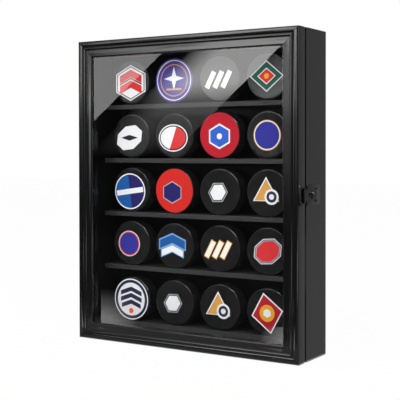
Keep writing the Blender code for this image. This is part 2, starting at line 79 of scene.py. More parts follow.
# The plane of the glazing that mirrors, and the room that it mirrors
GLAZING_FRONT = -0.0432
ROOM_FRONT, ROOM_REAR = -1.60, 3.6
ROOM_LEFT, ROOM_RIGHT = -3.2, 4.2
CEILING, CARPET = 2.6, 0.002

MILLIMETRE = 0.001
ROWS = range(1, 6)
COLUMNS = range(1, 5)


def srgb(red, green, blue):
    """Give a colour written as in a picture, from 0 to 255, as a shader's colour."""
    values = []
    for value in (red, green, blue):
        value /= 255
        values.append(value / 12.92 if value <= 0.04045 else ((value + 0.055) / 1.055) ** 2.4)
    return tuple(values)


# Settings

def length(name, description, default):
    """Give a length setting in metres."""
    return FloatProperty(
        name=name, description=description, default=default, min=0.0, precision=4,
        unit="LENGTH", subtype="DISTANCE",
    )


def colour(name, description, default):
    """Give a colour setting."""
    return FloatVectorProperty(
        name=name, description=description, default=default, size=3, min=0.0, max=1.0,
        subtype="COLOR",
    )


def share(name, description, default):
    """Give a setting from 0 to 1."""
    return FloatProperty(
        name=name, description=description, default=default, min=0.0, max=1.0, subtype="FACTOR",
    )


def count(name, description, default, least):
    """Give a whole-number setting."""
    return IntProperty(name=name, description=description, default=default, min=least)


class MouldingSettings(bpy.types.PropertyGroup):
    """Widths and depths of the members of the door's moulding."""

    corner: length("Corner", "Radius of the outer corner", 0.0026)
    fillet: length("Fillet", "Width of the flat fillet along the outer edge", 0.0017)
    outer_fall: length("Outer fall", "Width of the fillet's rounded side towards the valley", 0.0060)
    valley: length("Valley", "Width of the groove beside the fillet", 0.0003)
    inner_rise: length("Inner rise", "Width of the inner bead's side towards the valley", 0.0016)
    inner_fall: length("Inner fall", "Width of the inner bead's side towards the band", 0.0036)
    band: length("Band", "Width of the flat band", 0.0052)
    strip: length("Strip", "Width of the strip that rises gently beside the band", 0.0044)
    sight_width: length("Sight edge width", "Width of the rounded sight edge", 0.0024)
    sight_fall: length("Sight edge fall", "Depth of the rounded sight edge", 0.0030)
    valley_depth: length("Valley depth", "Depth of the groove beside the fillet", 0.0020)
    crest_depth: length("Inner crest depth", "How far the inner bead lies behind the fillet", 0.0006)
    band_depth: length("Band depth", "How far the flat band lies behind the fillet", 0.0029)
    strip_depth: length("Strip depth", "How far the strip's inner edge lies behind the fillet", 0.0025)
    rear_round: length("Rear rounding", "Radius of the outer rear edge", 0.0010)
    glazing_recess: length("Glazing recess", "Depth of the sight edge", 0.0060)
    rabbet: length("Rabbet", "Width of the rabbet that holds the glazing", 0.0080)
    mitre_space: length("Mitre space", "Half the hairline gap at a mitre", 0.00015)
    arc_steps: count("Arc steps", "Facets in each round of the moulding", 10, 3)


class PuckSettings(bpy.types.PropertyGroup):
    """Sizes of one puck."""

    sides: count("Sides", "Facets round the puck", 112, 24)
    edge_round: length("Edge rounding", "Radius of the puck's two edges", 0.0020)
    knurl_width: length("Knurl width", "Width of the knurled band round the edge", 0.0180)
    knurl_depth: length("Knurl depth", "Height of the knurl's points", 0.00035)
    knurl_rows: count("Knurl rows", "Rows of points in the knurled band", 8, 2)
    face_margin: length("Face margin", "Width of the ring round the face's edge", 0.0016)
    face_slope: length("Face slope", "Width of the slope inside that ring", 0.0006)
    face_drop: length("Face drop", "Depth of that slope", 0.00006)
    ink_thickness: length("Ink thickness", "Thickness of one printed layer", 0.00005)


class LatchSettings(bpy.types.PropertyGroup):
    """Sizes of the latch's parts and of the screws."""

    plate_thickness: length("Plate thickness", "Thickness of the plate on the door", 0.0020)
    sheet: length("Sheet", "Thickness of the hasp and of the keeper's plate", 0.0012)
    corner: length("Corner", "Radius of the plates' corners", 0.0025)
    nose_round: length("Nose rounding", "Radius of the corners at the hasp's free end", 0.0060)
    knuckles: length("Knuckles", "Length of the three knuckles together", 0.0220)
    knuckle_space: length("Knuckle space", "Space between two knuckles", 0.0003)
    barrel_space: length("Barrel space", "Space between a knuckle and the notch round it", 0.0004)
    hasp_depth: length("Hasp depth", "From the axis in to the hasp's inner face", 0.0007)
    slot_reach: length("Slot reach", "From the axis to the middle of the hasp's slot", 0.0260)
    slot_width: length("Slot width", "Width of the hasp's slot", 0.0037)
    slot_height: length("Slot height", "Height of the hasp's slot", 0.0115)
    slot_corner: length("Slot corner", "Radius of the slot's corners", 0.0014)
    wire: length("Wire", "Radius of the staple's wire", 0.0012)
    loop: length("Loop", "Radius of the staple's bend", 0.0033)
    pin: length("Pin", "Radius of the pin", 0.0012)
    pin_head: length("Pin head", "Height of the pin's heads", 0.0008)
    pin_bevel: length("Pin bevel", "Width of the bevel of the pin's heads", 0.0007)
    easing: length("Easing", "Width of the bevel along sharp edges", 0.00018)
    screw: length("Screw head", "Radius of the screws' heads", 0.0024)
    screw_rise: length("Screw rise", "Height of the latch screws' heads", 0.0010)
    recess: length("Recess", "Depth of the recess in the latch screws", 0.0004)
    shank: length("Shank", "Width of the screws' shanks", 0.0018)
    shank_corner: length("Shank corner", "Radius of the shanks' corners", 0.0006)
    hinge_screw_rise: length("Hinge screw rise", "Height of the hinge screws' heads", 0.0007)
    hinge_recess: length("Hinge recess", "Depth of the recess in the hinge screws", 0.0003)
    hinge_leaf: length("Hinge leaf", "Thickness of a hinge's leaf", 0.0011)
    hinge_reach: length("Hinge reach", "From a hinge's axis to its row of screws", 0.0088)
    hinge_pitch: length("Hinge pitch", "From one screw of a hinge to the next", 0.0135)


class FinishSettings(bpy.types.PropertyGroup):
    """Colours and gloss of the finishes."""

    paint: colour("Paint", "Black satin paint on the wood", (0.0022, 0.0022, 0.0024))
    paint_worn: colour("Paint, streaks", "Lighter streaks in the paint", (0.0042, 0.0041, 0.0043))
    paint_roughness: share("Paint roughness", "Roughness of the paint", 0.30)
    paint_gloss: share("Paint gloss", "Roughness of the paint's clear top coat", 0.07)
    shelf_paint: colour("Shelf paint", "Duller paint on the shelves", (0.034, 0.034, 0.035))
    shelf_roughness: share("Shelf roughness", "Roughness of the shelves' paint", 0.48)
    rubber: colour("Rubber", "Vulcanised rubber of the pucks", (0.0112, 0.0112, 0.0118))
    rubber_roughness: share("Rubber roughness", "Roughness of the rubber", 0.17)
    metal: colour("Blackened metal", "Latch, hinges and screws", (0.110, 0.110, 0.114))
    metal_roughness: share("Metal roughness", "Roughness of the metal", 0.14)


class StageSettings(bpy.types.PropertyGroup):
    """The floor, the background and the level of the light."""

    floor: colour("Floor", "Pale studio floor", (0.92, 0.92, 0.92))
    floor_glow: share("Floor glow", "How far the floor shows as background", 0.97)
    floor_size: length("Floor size", "Length of the square floor's side", 14.0)
    background: colour("Background", "White studio background", (1.0, 1.0, 1.0))
    sky_level: share("Soft light", "Level of the light from all round", 0.57)
    key_power: FloatProperty(
        name="Key light", description="Power of the large light in front", default=34.0, min=0.0,
        unit="POWER",
    )


# Modelling helpers

def deselect():
    """Leave nothing selected, in object mode."""
    if bpy.context.object and bpy.context.object.mode != "OBJECT":
        bpy.ops.object.mode_set(mode="OBJECT")
    bpy.ops.object.select_all(action="DESELECT")


def make_active(piece):
    """Select one piece alone and make it active."""
    deselect()
    piece.select_set(True)
    bpy.context.view_layer.objects.active = piece


def edit(piece, kind="VERT", action="DESELECT"):
    """Open a piece in edit mode with nothing selected, or all of it."""
    make_active(piece)
    bpy.ops.object.mode_set(mode="EDIT")
    bpy.ops.mesh.select_mode(type=kind)
    bpy.ops.mesh.select_all(action=action)


def close(piece):
    """Leave edit mode."""
    bpy.ops.object.mode_set(mode="OBJECT")
    return piece


def ends(piece, edge):
    """Give the places of an edge's two ends."""
    return [piece.data.vertices[index].co for index in edge.vertices]


def select(piece, test, kind="VERT"):
    """In edit mode, select the vertices, edges or faces that pass a test, given each and its middle."""
    bpy.ops.mesh.select_mode(type=kind)
    bpy.ops.mesh.select_all(action="DESELECT")
    bpy.ops.object.mode_set(mode="OBJECT")
    if kind == "VERT":
        parts = [(vert, vert.co) for vert in piece.data.vertices]
    elif kind == "EDGE":
        parts = [(edge, sum(ends(piece, edge), Vector()) / 2) for edge in piece.data.edges]
    else:
        parts = [(face, face.center) for face in piece.data.polygons]
    for part, middle in parts:
        part.select = bool(test(part, middle))
    found = any(part.select for part, middle in parts)
    bpy.ops.object.mode_set(mode="EDIT")
    if not found:
        raise RuntimeError(f"{piece.name}: nothing to select")


def extrude(move):
    """In edit mode, extrude what is selected."""
    bpy.ops.mesh.extrude_region_move(TRANSFORM_OT_translate={"value": move})


def slice_off(piece, point, outside, fill=False):
    """Cut off what lies beyond a plane."""
    edit(piece, action="SELECT")
    bpy.ops.mesh.bisect(plane_co=point, plane_no=outside, use_fill=fill, clear_outer=True)
    return close(piece)


def apply_place(piece):
    """Put a piece's place, turn and size into its mesh."""
    make_active(piece)
    bpy.ops.object.transform_apply(location=True, rotation=True, scale=True)
    return piece


def new_piece(name):
    """Name the primitive that was just added and put its place into its mesh."""
    piece = bpy.context.object
    piece.name = name
    return apply_place(piece)


def copy_of(piece, name):
    """Copy a piece with a mesh of its own."""
    twin = piece.copy()
    twin.data = piece.data.copy()
    twin.name = name
    twin.data.name = name
    bpy.context.scene.collection.objects.link(twin)
    return twin


def modify(piece, kind, **values):
    """Add a modifier to a piece and apply it."""
    make_active(piece)
    modifier = piece.modifiers.new(kind.title(), kind)
    for key, value in values.items():
        setattr(modifier, key, value)
    bpy.ops.object.modifier_apply(modifier=modifier.name)
    return piece


def cut(piece, tools, operation="DIFFERENCE"):
    """Cut tools from a piece, or weld them to it, and remove the tools."""
    for tool in tools:
        modify(piece, "BOOLEAN", operation=operation, solver="EXACT", object=tool)
        bpy.data.objects.remove(tool)
    return piece


def join(pieces, name):
    """Join pieces into the first one."""
    deselect()
    for piece in pieces:
        piece.select_set(True)
    bpy.context.view_layer.objects.active = pieces[0]
    bpy.ops.object.join()
    piece = pieces[0]
    piece.name = name
    piece.data.name = name
    return piece


def outward(piece):
    """Merge doubles and turn every face outwards."""
    edit(piece, action="SELECT")
    bpy.ops.mesh.remove_doubles(threshold=SAME)
    bpy.ops.mesh.normals_make_consistent(inside=False)
    return close(piece)


def smooth(piece, degrees):
    """Shade a piece smooth, except over edges sharper than an angle."""
    make_active(piece)
    bpy.ops.object.shade_smooth_by_angle(angle=math.radians(degrees))
    return piece


def finish_piece(piece, body, material=None, replaced=()):
    """Give a finished piece its material and body, and hide what it stands for."""
    apply_place(piece)
    if material:
        piece.data.materials.clear()
        piece.data.materials.append(material)
    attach(piece, body)
    if replaced:
        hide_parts(*replaced)
    return piece


def slab(name, low, high, rounds=0.0):
    """Give a plate between two corners, its corners rounded in the plane across X."""
    low, high = Vector(low), Vector(high)
    bpy.ops.mesh.primitive_cube_add(size=1, location=(low + high) / 2, scale=high - low)
    piece = new_piece(name)
    if rounds:

        def along(edge, middle):
            first, second = ends(piece, edge)
            return abs(first.y - second.y) < SAME and abs(first.z - second.z) < SAME

        edit(piece, "EDGE")
        select(piece, along, "EDGE")
        bpy.ops.mesh.bevel(offset=rounds, segments=6, affect="EDGES")
        close(piece)
    return piece


def rod(name, radius, low, high, centre, sides=32, bevel=0.0):
    """Give a round bar along Z between two heights, its end edges bevelled."""
    bpy.ops.mesh.primitive_cylinder_add(
        vertices=sides, radius=radius, depth=high - low,
        location=(centre[0], centre[1], (low + high) / 2),
    )
    piece = new_piece(name)
    if bevel:

        def rim(edge, middle):
            first, second = ends(piece, edge)
            return abs(first.z - second.z) < SAME

        edit(piece, "EDGE")
        select(piece, rim, "EDGE")
        bpy.ops.mesh.bevel(offset=bevel, segments=2, affect="EDGES")
        close(piece)
    return piece


# Materials

class Graph:
    """The nodes of a material or a world, added from left to right."""

    def __init__(self, owner):
        owner.use_nodes = True
        self.owner = owner
        self.tree = owner.node_tree
        self.tree.nodes.clear()
        self.column = 0

    def add(self, kind, inputs=None, **values):
        """Add a node, its inputs linked or set."""
        node = self.tree.nodes.new(kind)
        self.column += 1
        node.location = (self.column * 190, -60 * (self.column % 3))
        for key, value in values.items():
            setattr(node, key, value)
        for key, value in (inputs or {}).items():
            if isinstance(value, bpy.types.NodeSocket):
                self.tree.links.new(value, node.inputs[key])
            else:
                node.inputs[key].default_value = value
        return node

    def calc(self, operation, first, second):
        """Give the result of an operation on two values."""
        return self.add("ShaderNodeMath", {0: first, 1: second}, operation=operation).outputs[0]

    def axes(self, output):
        """Give the three parts of the piece's own coordinates."""
        place = self.add("ShaderNodeTexCoord").outputs[output]
        return self.add("ShaderNodeSeparateXYZ", {0: place}).outputs

    def pattern(self, scale=(1.0, 1.0, 1.0)):
        """Give the piece's own coordinates, stretched by a scale along each axis."""
        place = self.add("ShaderNodeTexCoord").outputs["Object"]
        return self.add("ShaderNodeMapping", {"Vector": place, "Scale": scale}).outputs["Vector"]

    def noise(self, vector, scale, detail, roughness):
        """Give a cloudy pattern."""
        return self.add(
            "ShaderNodeTexNoise",
            {"Vector": vector, "Scale": scale, "Detail": detail, "Roughness": roughness},
        ).outputs["Fac"]

    def ramp(self, factor, stops):
        """Give colours or levels that run between stops."""
        node = self.add("ShaderNodeValToRGB", {"Fac": factor})
        elements = node.color_ramp.elements
        while len(elements) < len(stops):
            elements.new(0.5)
        for element, (position, value) in zip(elements, stops):
            element.position = position
            element.color = (*value, 1.0) if hasattr(value, "__len__") else (value, value, value, 1.0)
        return node.outputs["Color"]

    def span(self, value, low, high, source=(0.3, 0.7)):
        """Give a value moved from one range into another."""
        return self.add("ShaderNodeMapRange", {
            "Value": value, "From Min": source[0], "From Max": source[1], "To Min": low, "To Max": high,
        }).outputs["Result"]

    def bump(self, height, distance, strength, normal=None):
        """Give a surface's direction, roughened by a pattern."""
        inputs = {"Height": height, "Distance": distance, "Strength": strength}
        if normal:
            inputs["Normal"] = normal
        return self.add("ShaderNodeBump", inputs).outputs["Normal"]

    def surface(self, inputs):
        """Finish a material with one shader."""
        shader = self.add("ShaderNodeBsdfPrincipled", inputs)
        self.add("ShaderNodeOutputMaterial", {"Surface": shader.outputs["BSDF"]})
        return self.owner


def new_material(name):
    """Start a material."""
    return Graph(bpy.data.materials.new(name))


def rgba(value):
    """Give a colour with an opaque alpha."""
    return (*value, 1.0)


def behind_glazing(g):
    """Give 1 on the faces between the boards behind the glazing, and 0 elsewhere."""
    x, y, z = g.axes("Object")
    low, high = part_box("bottom_panel")[1].z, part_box("top_panel")[0].z
    side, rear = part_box("side_panel_right")[0].x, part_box("glazing_panel")[1].y
    inside = g.calc("LESS_THAN", g.calc("ABSOLUTE", x, 0.0), side + SURFACE_SLACK)
    for test in (
        g.calc("GREATER_THAN", y, rear - SURFACE_SLACK), g.calc("GREATER_THAN", z, low - SURFACE_SLACK),
        g.calc("LESS_THAN", z, high + SURFACE_SLACK),
    ):
        inside = g.calc("MULTIPLY", inside, test)
    return inside


def satin_paint(name, axis, settings):
    """Black satin paint, brushed over wood whose grain runs along one axis, duller inside the case."""
    g = new_material(name)
    grained = g.pattern(tuple(0.045 if i == axis else 1.0 for i in range(3)))
    streaks = g.noise(grained, 420.0, 6.0, 0.62)
    broad = g.noise(grained, 60.0, 3.0, 0.5)
    flow = g.noise(g.pattern(), 150.0, 3.0, 0.5)
    tint = g.ramp(streaks, ((0.42, tuple(settings.paint)), (0.68, tuple(settings.paint_worn))))
    rough = settings.paint_roughness
    normal = g.bump(streaks, 0.00005, 0.9, g.bump(flow, 0.00004, 0.5))
    return g.surface({
        "Base Color": tint, "Roughness": g.span(broad, rough - 0.03, rough + 0.04), "IOR": 1.25,
        "Normal": normal, "Coat Weight": g.span(behind_glazing(g), 1.0, 0.1, (0.0, 1.0)),
        "Coat Roughness": settings.paint_gloss, "Coat IOR": 1.65, "Coat Normal": normal,
    })


def mottled(name, base, cover, tones, gloss, relief, bump, **inputs):
    """Give a material mottled in tint and gloss, over a relief that is finer or the same."""
    g = new_material(name)
    place = g.pattern()
    mottle = g.noise(place, *cover)
    fine = g.noise(place, *relief) if relief else mottle
    base = Vector(base)
    return g.surface({
        "Base Color": g.ramp(mottle, [(at, tuple(base * tone)) for at, tone in tones]),
        "Roughness": g.span(mottle, *gloss), "Normal": g.bump(fine, *bump), **inputs,
    })


def shelf_paint(name, settings):
    """Duller black paint, rolled on the shelves."""
    rough = settings.shelf_roughness
    return mottled(
        name, settings.shelf_paint, (520.0, 4.0, 0.6), ((0.35, 0.8), (0.70, 1.2)),
        (rough - 0.05, rough + 0.05), None, (0.00005, 0.7), IOR=1.5,
    )


def vulcanised_rubber(name, settings):
    """Moulded black rubber with a faint bloom."""
    rough = settings.rubber_roughness
    return mottled(
        name, settings.rubber, (70.0, 4.0, 0.6), ((0.35, 0.85), (0.70, 1.2)),
        (rough - 0.03, rough + 0.06), (900.0, 3.0, 0.6), (0.00003, 0.6), IOR=1.52,
    )


def blackened_metal(name, settings):
    """Black-plated steel, lightly mottled."""
    rough = settings.metal_roughness
    return mottled(
        name, settings.metal, (320.0, 4.0, 0.6), ((0.35, 0.8), (0.70, 1.25)),
        (rough - 0.05, rough + 0.08), (1800.0, 2.0, 0.5), (0.00002, 0.5), Metallic=1.0,
    )


def ink(name, base):
    """Screen-printed ink, very slightly uneven."""
    return mottled(
        name, base, (240.0, 4.0, 0.6), ((0.30, 0.93), (0.70, 1.0)),
        (0.36, 0.46), (1500.0, 2.0, 0.5), (0.00002, 0.5), IOR=1.25,
    )


def glazing_material(name):
    """Clear glazing that mirrors a little, more at a slant, and lets the rest through."""
    g = new_material(name)
    facing = g.add("ShaderNodeFresnel", {"IOR": 1.78}).outputs["Fac"]
    behind = g.add("ShaderNodeNewGeometry").outputs["Backfacing"]
    mirror = g.calc("MULTIPLY", facing, g.calc("SUBTRACT", 1.0, behind))
    return g.surface({
        "Base Color": (1.0, 1.0, 1.0, 1.0), "Metallic": 1.0, "Roughness": 0.0, "Alpha": mirror,
    })


def material_named(name):
    """Give a material made before, or stop."""
    found = bpy.data.materials.get(name)
    if found is None:
        raise RuntimeError(f"the material {name} is made first")
    return found


# Finishes

class PUCKCASE_OT_finishes(bpy.types.Operator):
    """Make the paint, rubber, metal and glazing, and put them on the boards, shelves and stops"""

    bl_idname = "puckcase.finishes"
    bl_label = "Finishes"

    def execute(self, context):
        settings = context.scene.puckcase_finish
        across = satin_paint("Satin Paint, Grain Across", 0, settings)
        upright = satin_paint("Satin Paint, Grain Upright", 2, settings)
        metal = blackened_metal("Blackened Metal", settings)
        rubber = vulcanised_rubber("Vulcanised Rubber", settings)
        shelves = shelf_paint("Shelf Paint", settings)
        glazing = glazing_material("Clear Glazing")
        for node, item in frame["nodes"].items():
            if node.startswith("puck"):
                material = rubber
            elif node == "glazing_panel":
                material = glazing
            elif node.startswith("shelf"):
                material = shelves
            elif node.startswith(("hinge", "latch")):
                material = metal
            elif node.startswith("side_panel") or node.endswith(("_left", "_right")):
                material = upright
            else:
                material = across
            item.data.materials.clear()
            item.data.materials.append(material)
        return {"FINISHED"}


# Door frame

def quarter(centre, radius, start, steps):
    """Give a quarter round, from one angle in degrees."""
    points = []
    for step in range(steps + 1):
        angle = math.radians(start + 90 * step / steps)
        points.append((centre[0] + radius * math.cos(angle), centre[1] + radius * math.sin(angle)))
    return points


def settling(steps):
    """Give a quarter ellipse, in shares of its size, from square to the front to along it."""
    angles = (math.pi / 2 * step / steps for step in range(1, steps + 1))
    return [(1 - math.cos(angle), math.sin(angle)) for angle in angles]


def steepening(steps):
    """Give a quarter ellipse, in shares of its size, from along the front to square to it."""
    angles = (math.pi / 2 * step / steps for step in range(1, steps + 1))
    return [(math.sin(angle), 1 - math.cos(angle)) for angle in angles]


def straight(steps):
    """Give a straight member, with a line near each end that keeps its shading flat."""
    return [(near, near) for near in (0.03, 0.97, 1)]


def moulding_outline(s, thickness):
    """Give the moulding's section: how far in from the outer edge, and how far behind the crest."""
    points = quarter((s.rear_round, thickness - s.rear_round), s.rear_round, 90, s.arc_steps // 2)
    inwards, depth = 0, s.corner
    points.append((inwards, depth))
    members = (
        (settling, s.corner, 0), (straight, s.fillet, 0), (steepening, s.outer_fall, s.valley_depth),
        (straight, s.valley, s.valley_depth), (settling, s.inner_rise, s.crest_depth),
        (steepening, s.inner_fall, s.band_depth), (straight, s.band, s.band_depth),
        (straight, s.strip, s.strip_depth), (steepening, s.sight_width, s.strip_depth + s.sight_fall),
        (straight, 0, s.glazing_recess),
    )
    for shape, width, next_depth in members:
        for across, along in shape(s.arc_steps):
            points.append((inwards + width * across, depth + (next_depth - depth) * along))
        inwards += width
        depth = next_depth
    points.append((inwards - s.rabbet, s.glazing_recess))
    points.append((inwards - s.rabbet, thickness))
    return points


class PUCKCASE_OT_door_frame(bpy.types.Operator):
    """Model the four moulded and mitred members of the door's frame"""

    bl_idname = "puckcase.door_frame"
    bl_label = "Door Frame"

    def execute(self, context):
        settings = context.scene.puckcase_moulding
        left_low, left_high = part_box("door_stile_left")
        half_width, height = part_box("door_stile_right")[1].x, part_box("door_rail_top")[1].z
        front, bottom = left_low.y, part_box("door_rail_bottom")[0].z
        section = self.trace_section(moulding_outline(settings, left_high.y - front))
        across = material_named("Satin Paint, Grain Across")
        upright = material_named("Satin Paint, Grain Upright")
        corner_left = Vector((-half_width, front, bottom))
        corner_right = Vector((half_width, front, bottom))
        corner_top = Vector((-half_width, front, height))
        along_x, along_z = Vector((1, 0, 0)), Vector((0, 0, 1))
        members = (
            ("stile_left", corner_left, 0, along_z, height, along_x, upright),
            ("stile_right", corner_right, 180, along_z, height, -along_x, upright),
            ("rail_bottom", corner_left, -90, along_x, half_width * 2, along_z, across),
            ("rail_top", corner_top, 90, along_x, half_width * 2, -along_z, across),
        )
        for name, corner, turn, run, reach, inwards, paint in members:
            piece = copy_of(section, f"moulded_{name}")
            piece.location = corner
            piece.rotation_euler = (0, math.radians(turn), 0)
            apply_place(piece)
            edit(piece, "FACE", "SELECT")
            extrude(run * reach)
            close(piece)
            gap = run * settings.mitre_space
            slice_off(piece, corner + gap, (inwards - run).normalized(), fill=True)
            slice_off(piece, corner + run * reach - gap, (inwards + run).normalized(), fill=True)
            outward(piece)
            smooth(piece, 28)
            finish_piece(piece, "door", paint, (f"door_{name}",))
        bpy.data.objects.remove(section)
        return {"FINISHED"}

    def trace_section(self, points):
        """Trace the section as a face, starting from one point that is extruded round it."""
        bpy.ops.mesh.primitive_plane_add(size=0.001, location=(0, 0, 0))
        piece = bpy.context.object
        edit(piece, action="SELECT")
        bpy.ops.mesh.merge(type="CENTER")
        bpy.ops.transform.translate(value=(points[0][0], points[0][1], 0))
        for before, after in zip(points, points[1:]):
            extrude((after[0] - before[0], after[1] - before[1], 0))
        bpy.ops.mesh.select_all(action="SELECT")
        bpy.ops.mesh.edge_face_add()
        return close(piece)


# Pucks

class PUCKCASE_OT_pucks(bpy.types.Operator):
    """Model one puck with a knurled edge, and stand a copy in each place on the shelves"""

    bl_idname = "puckcase.pucks"
    bl_label = "Pucks"

    def execute(self, context):
        settings = context.scene.puckcase_puck
        low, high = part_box("puck_r1_c1")
        model = self.model(settings, (high.x - low.x) / 2, high.y - low.y)
        rubber = material_named("Vulcanised Rubber")
        for row in ROWS:
            for column in COLUMNS:
                node = f"puck_r{row}_c{column}"
                low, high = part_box(node)
                piece = copy_of(model, f"knurled_{node}")
                piece.rotation_euler = (0, math.radians(7.3 * (row * 4 + column)), 0)
                piece.location = (low + high) / 2
                finish_piece(piece, "case", rubber, (node,))
        bpy.data.objects.remove(model)
        return {"FINISHED"}

    def model(self, s, radius, thickness):
        """Shape one puck about the origin, its axis along Y."""
        half = thickness / 2
        band = s.knurl_width / 2

        def at_rim(part, middle):
            return abs(abs(middle.z) - half) < SAME

        def in_band(vert, middle):
            return abs(middle.z) < band + SAME and middle.xy.length > radius / 2

        def cell(face, middle):
            return abs(middle.z) < band and abs(face.normal.z) < 0.5

        def whole_face(face, middle):
            return at_rim(face, middle) and face.area > radius ** 2

        bpy.ops.mesh.primitive_cylinder_add(
            vertices=s.sides, radius=radius, depth=thickness, end_fill_type="NGON",
        )
        piece = bpy.context.object
        # Round the two edges
        edit(piece, "EDGE")
        select(piece, at_rim, "EDGE")
        bpy.ops.mesh.bevel(offset=s.edge_round, segments=5, profile=0.5, affect="EDGES")
        # Divide the band and draw it in
        for step in range(s.knurl_rows + 1):
            level = -band + s.knurl_width * step / s.knurl_rows
            bpy.ops.mesh.select_all(action="SELECT")
            bpy.ops.mesh.bisect(plane_co=(0, 0, level), plane_no=(0, 0, 1))
        select(piece, in_band)
        drawn = (radius - s.knurl_depth) / radius
        bpy.ops.transform.resize(value=(drawn, drawn, 1))
        # Raise a point on each cell
        select(piece, cell, "FACE")
        bpy.ops.mesh.poke(offset=s.knurl_depth)
        # Ease the faces in, as a moulded puck is
        select(piece, whole_face, "FACE")
        bpy.ops.mesh.inset(thickness=s.face_margin, depth=0)
        bpy.ops.mesh.inset(thickness=s.face_slope, depth=-s.face_drop)
        close(piece)
        piece.rotation_euler = (math.pi / 2, 0, 0)
        apply_place(piece)
        outward(piece)
        return smooth(piece, 20)


# Prints

INKS = {
    "white": (244, 245, 247), "cream": (252, 249, 236), "pale grey": (176, 182, 190),
    "black": (20, 20, 22), "red": (222, 52, 54), "crimson": (186, 28, 44),
    "vermilion": (214, 40, 34), "violet": (76, 66, 148), "navy": (40, 36, 104),
    "indigo": (54, 54, 156), "blue": (50, 100, 206), "sky": (128, 176, 226),
    "steel blue": (28, 92, 164), "green": (34, 94, 76), "gold": (222, 164, 82),
    "orange": (248, 98, 38), "yellow": (240, 172, 46), "slate": (44, 44, 74),
}

# Marks are drawn from the puck's face up: shape, place from the puck's middle across and up,
# turn, then each layer's ink, width and height, in millimetres and degrees. A number for a
# shape is a polygon's count of sides.
ROUND = 72
DESIGNS = {
    "double chevron": (
        (6, -1, -1, 0, ("white", 72, 62), ("black", 67, 57.5), ("white", 63, 54)),
        ("chevron", -1, 10, 24, ("red", 46, 12)), ("chevron", -1, -8, 24, ("red", 46, 12)),
        ("chevron", -1, 1.5, 24, ("black", 46, 2.2)),
    ),
    "compass": (
        (ROUND, 0, 0, 0, ("violet", 73.6, 73.6), ("white", 68, 68), ("violet", 65, 65),
         ("gold", 54, 54), ("violet", 51, 51)),
        (4, 0, 3, 0, ("white", 11, 40), ("white", 40, 11)), ("bar", 0, -15, 0, ("gold", 30, 3)),
    ),
    "slanted bars": tuple(("bar", across, -2, -28, ("cream", 9, 30)) for across in (-17, -2, 13)),
    "nested diamonds": (
        (4, -2, 0, 0, ("white", 60, 50), ("green", 56, 46), ("white", 33, 27), ("red", 29, 23.5)),
        (ROUND, -2, 0, 0, ("yellow", 9, 9)),
    ),
    "slit octagon": ((8, -4, -3, 22.5, ("white", 58, 42)), (4, -4, -3, 0, ("black", 36, 10))),
    "divided disc": (
        (ROUND, -2, -4, 0, ("white", 58, 46), ("black", 54, 42), ("white", 50, 38)),
        ("half", -2, -4, -20, ("red", 50, 38)),
    ),
    "hexagon on red": (
        (ROUND, 0, 0, 0, ("crimson", 73.6, 73.6)),
        (6, 0, -2, 0, ("white", 46, 42), ("blue", 40, 36)), (ROUND, 0, -2, 0, ("white", 10, 10)),
    ),
    "ringed disc": (
        (ROUND, -1, -1, 0, ("gold", 49, 49), ("white", 46.5, 46.5), ("indigo", 43.5, 43.5)),
    ),
    "banded disc": (
        (ROUND, -3, -3, 0, ("white", 64, 62), ("navy", 60, 58)),
        ("half", -3, -3, 188, ("steel blue", 60, 58)), ("bar", -3, -3, 8, ("white", 56, 9)),
    ),
    "hexagon on orange": (
        (ROUND, 0, 0, 0, ("vermilion", 73.6, 73.6)),
        (6, -4, -3, 0, ("pale grey", 42, 38), ("navy", 38.5, 34.5)),
    ),
    "small hexagon": (
        (6, -3, -1, 30, ("pale grey", 38, 35), ("black", 35, 32), ("white", 31, 28)),
    ),
    "triangle and ring": (
        (3, -3, 0, 0, ("white", 54, 52)), (3, -3, -0.5, 0, ("gold", 48, 46)),
        (ROUND, 7, -6, 0, ("white", 25, 25), ("slate", 18, 18), ("white", 9, 9)),
    ),
    "blue disc": (
        (ROUND, -5, -1, 0, ("white", 45, 44), ("orange", 43, 42), ("indigo", 39.5, 38.5)),
    ),
    "two chevrons": (
        ("chevron", -4, 6.5, 22, ("sky", 54, 17), ("steel blue", 50, 13)),
        ("chevron", -4, -9, 22, ("sky", 46, 13), ("white", 42, 9.5)),
    ),
    "gilt bars": tuple(
        ("bar", across, -2, -28, ("gold", 10.5, 32), ("cream", 8.5, 29)) for across in (-18, -3, 12)
    ),
    "long octagon": (
        (8, 0, 0, 22.5, ("white", 54, 42), ("navy", 51, 39.5), ("pale grey", 48, 36.5),
         ("red", 45, 34)),
    ),
    "chevron disc": (
        (ROUND, -1, -1, 0, ("white", 71, 71), ("slate", 67, 67), ("white", 57, 57)),
        ("chevron", -1, 13, 20, ("slate", 44, 7)), ("chevron", -1, 2, 20, ("slate", 44, 7)),
        ("chevron", -1, -9, 20, ("slate", 40, 7)), (ROUND, -1, -21, 0, ("orange", 9, 9)),
    ),
    "tilted square": (
        (4, -1, -2, 12, ("white", 58, 66), ("crimson", 52, 60)),
        (ROUND, -1, -2, 0, ("yellow", 27, 27)), (6, -1, -2, 0, ("white", 15, 14)),
    ),
}
LAYOUT = (
    ("double chevron", "compass", "slanted bars", "nested diamonds"),
    ("slit octagon", "divided disc", "hexagon on red", "ringed disc"),
    ("banded disc", "hexagon on orange", "small hexagon", "triangle and ring"),
    ("blue disc", "two chevrons", "gilt bars", "long octagon"),
    ("chevron disc", "small hexagon", "triangle and ring", "tilted square"),
)


